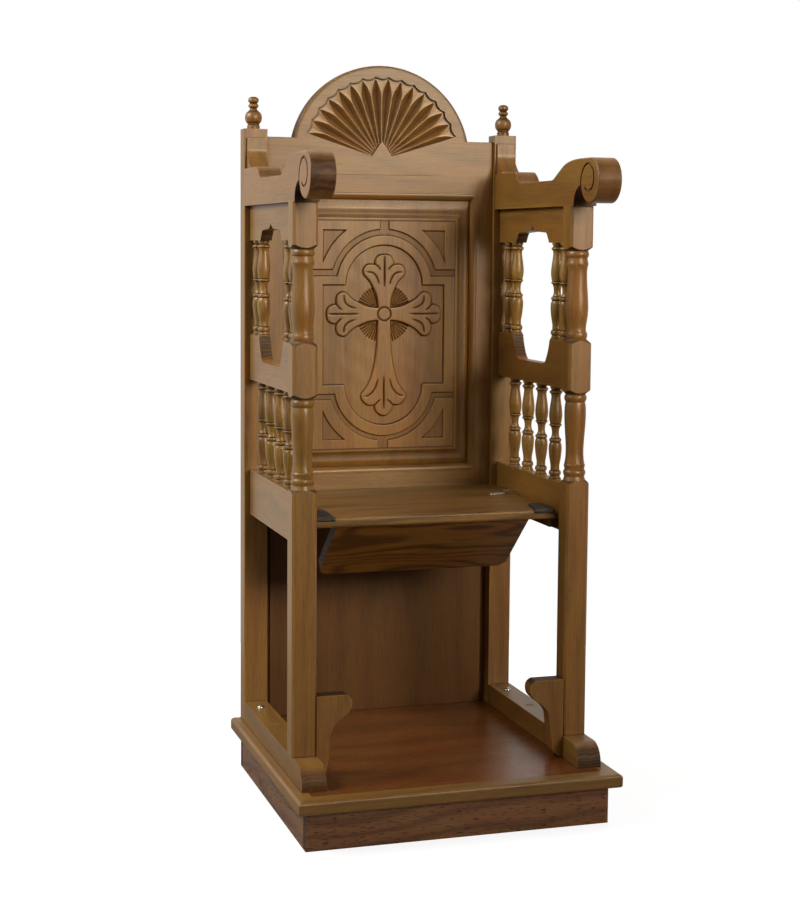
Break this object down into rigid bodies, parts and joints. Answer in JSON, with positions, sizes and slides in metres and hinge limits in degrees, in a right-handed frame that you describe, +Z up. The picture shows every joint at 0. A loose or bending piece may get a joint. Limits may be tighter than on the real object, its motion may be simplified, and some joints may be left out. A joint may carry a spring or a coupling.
{
  "type": "choir stall",
  "caption": "Wooden choir stall on a plinth: high scroll arms, turned side galleries, carved back under an arched crest, and a tip-up seat with a perch board under it.",
  "frame": {"origin": "centre of the footprint, on the floor under the plinth", "axes": "+Z up; the sitter faces -Y; +X is the right-hand side seen from the front"},
  "size_m": [0.68, 0.638, 1.5793],
  "materials": {
    "frame_wood": "semi-gloss lacquer over stain",
    "turned_wood": "semi-gloss lacquer over stain",
    "carved_wood": "semi-gloss lacquer over stain",
    "seat_wood": "semi-gloss lacquer over stain",
    "lower_panel_wood": "satin lacquer over dark stain",
    "platform_veneer": "gloss lacquer over red-brown stain",
    "lipping_wood": "gloss lacquer",
    "plinth_wood": "satin stain with open pores",
    "steel": "plain, slightly dull",
    "pad_rubber": "matt"
  },
  "bodies": {
    "frame": {"plinth_front": "plinth_wood", "plinth_back": "plinth_wood", "plinth_left": "plinth_wood", "plinth_right": "plinth_wood", "plinth_bearer_left": "plinth_wood", "plinth_bearer_right": "plinth_wood", "platform_panel": "platform_veneer", "lipping_front": "lipping_wood", "lipping_left": "lipping_wood", "lipping_right": "lipping_wood", "runner_left": "frame_wood", "runner_right": "frame_wood", "front_post_left": "frame_wood", "front_post_right": "frame_wood", "rear_post_left": "frame_wood", "rear_post_right": "frame_wood", "finial_left": "frame_wood", "finial_right": "frame_wood", "arm_left": "frame_wood", "arm_right": "frame_wood", "ogee_bracket_left": "frame_wood", "ogee_bracket_right": "frame_wood", "upper_rail_left": "frame_wood", "upper_rail_right": "frame_wood", "mid_rail_left": "frame_wood", "mid_rail_right": "frame_wood", "seat_rail_left": "frame_wood", "seat_rail_right": "frame_wood", "stile_left": "frame_wood", "stile_right": "frame_wood", "top_rail": "frame_wood", "bottom_rail": "frame_wood", "crest_board": "frame_wood", "foot_bracket_left": "frame_wood", "foot_bracket_right": "frame_wood", "seat_cleat_left": "frame_wood", "seat_cleat_right": "frame_wood", "upper_balusters_left": "turned_wood", "upper_balusters_right": "turned_wood", "lower_balusters_left": "turned_wood", "lower_balusters_right": "turned_wood", "back_dowels": "turned_wood", "runner_plugs": "turned_wood", "raised_panel": "carved_wood", "lower_back_panel": "lower_panel_wood", "back_batten_left": "lower_panel_wood", "back_batten_right": "lower_panel_wood", "runner_screws": "steel", "cleat_screws": "steel"},
    "seat": {"seat_board_front": "seat_wood", "seat_board_rear": "seat_wood", "perch_board": "seat_wood", "perch_bracket_left": "seat_wood", "perch_bracket_right": "seat_wood", "hinge_rod_left": "steel", "hinge_rod_right": "steel", "seat_pad_left": "pad_rubber", "seat_pad_right": "pad_rubber"}
  },
  "joints": [
    {"name": "seat_tip", "type": "hinge", "parent": "frame", "child": "seat", "pos_m": [0, 0.165, 0.627], "axis": [-1, 0, 0], "range_deg": [0, 114.6]}
  ]
}
